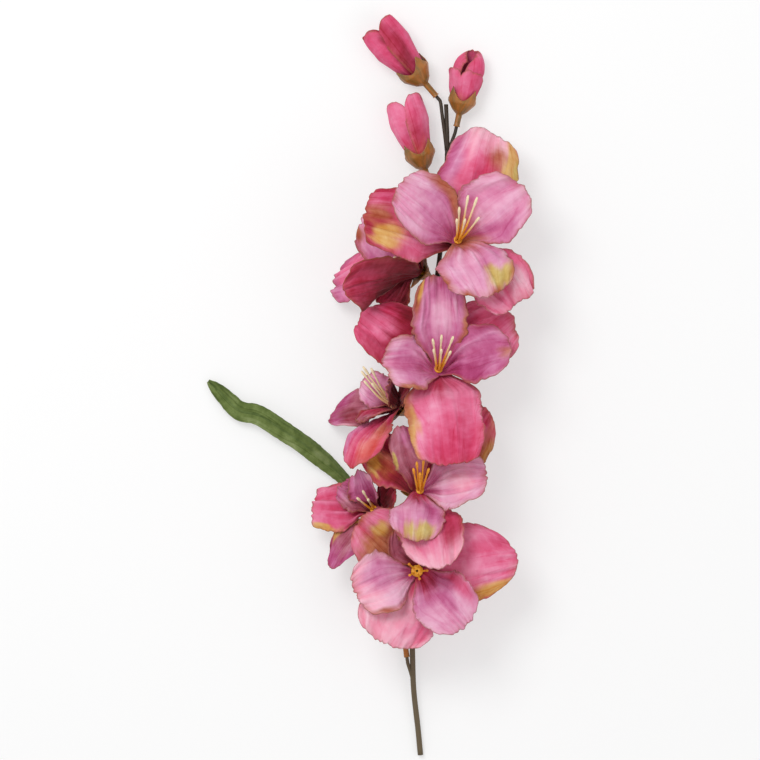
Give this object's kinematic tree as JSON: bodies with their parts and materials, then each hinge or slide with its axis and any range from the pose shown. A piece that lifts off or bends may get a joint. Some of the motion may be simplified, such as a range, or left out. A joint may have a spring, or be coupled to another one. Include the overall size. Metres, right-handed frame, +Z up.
{
  "type": "artificial gladiolus stem",
  "caption": "Cut artificial gladiolus stem of fabric petals on a plastic-coated wire stem, with open flowers, closed buds and a strap leaf, lying on a flat surface.",
  "frame": {"origin": "middle of the spray's bounding box, on the flat surface that it lies on", "axes": "+Y along the stem towards the buds, +Z up from the surface, the way the open flowers face, +X to the right with the leaf on the -X side"},
  "size_m": [0.2634, 0.5972, 0.0959],
  "materials": {
    "stem_plastic": "moulded plastic with a dull olive-brown skin",
    "core_wire": "drawn steel wire, cut square",
    "calyx_plastic": "moulded tan-brown plastic with an olive tint",
    "outer_petal_fabric": "die-cut woven polyester, dyed crimson to pink with ochre patches",
    "inner_petal_fabric": "die-cut woven polyester, dyed mauve with browned edges",
    "stamen_plastic": "moulded yellow plastic with cream tips",
    "leaf_fabric": "woven polyester, dyed green and pressed",
    "leaf_rib_plastic": "green plastic-coated wire"
  },
  "bodies": {
    "root": {"bud_1_calyx": "calyx_plastic", "bud_1_inner_petal": "outer_petal_fabric", "bud_1_outer_petal": "outer_petal_fabric", "bud_2_calyx": "calyx_plastic", "bud_2_inner_petal": "outer_petal_fabric", "bud_2_outer_petal": "outer_petal_fabric", "bud_3_calyx": "calyx_plastic", "bud_3_inner_petal": "outer_petal_fabric", "bud_3_outer_petal": "outer_petal_fabric", "flower_1_calyx": "calyx_plastic", "flower_1_inner_petals": "inner_petal_fabric", "flower_1_outer_petals": "outer_petal_fabric", "flower_1_stamens": "stamen_plastic", "flower_2_calyx": "calyx_plastic", "flower_2_inner_petals": "inner_petal_fabric", "flower_2_outer_petals": "outer_petal_fabric", "flower_2_stamens": "stamen_plastic", "flower_3_calyx": "calyx_plastic", "flower_3_inner_petals": "inner_petal_fabric", "flower_3_outer_petals": "outer_petal_fabric", "flower_3_stamens": "stamen_plastic", "flower_4_calyx": "calyx_plastic", "flower_4_inner_petals": "inner_petal_fabric", "flower_4_outer_petals": "outer_petal_fabric", "flower_4_stamens": "stamen_plastic", "flower_5_calyx": "calyx_plastic", "flower_5_inner_petals": "inner_petal_fabric", "flower_5_outer_petals": "outer_petal_fabric", "flower_5_stamens": "stamen_plastic", "flower_6_calyx": "calyx_plastic", "flower_6_inner_petals": "inner_petal_fabric", "flower_6_outer_petals": "outer_petal_fabric", "flower_6_stamens": "stamen_plastic", "flower_7_calyx": "calyx_plastic", "flower_7_inner_petals": "inner_petal_fabric", "flower_7_outer_petals": "outer_petal_fabric", "flower_7_stamens": "stamen_plastic", "leaf_blade": "leaf_fabric", "leaf_midrib": "leaf_rib_plastic", "main_stem": "stem_plastic", "stem_wire_core": "core_wire"}
  },
  "joints": []
}
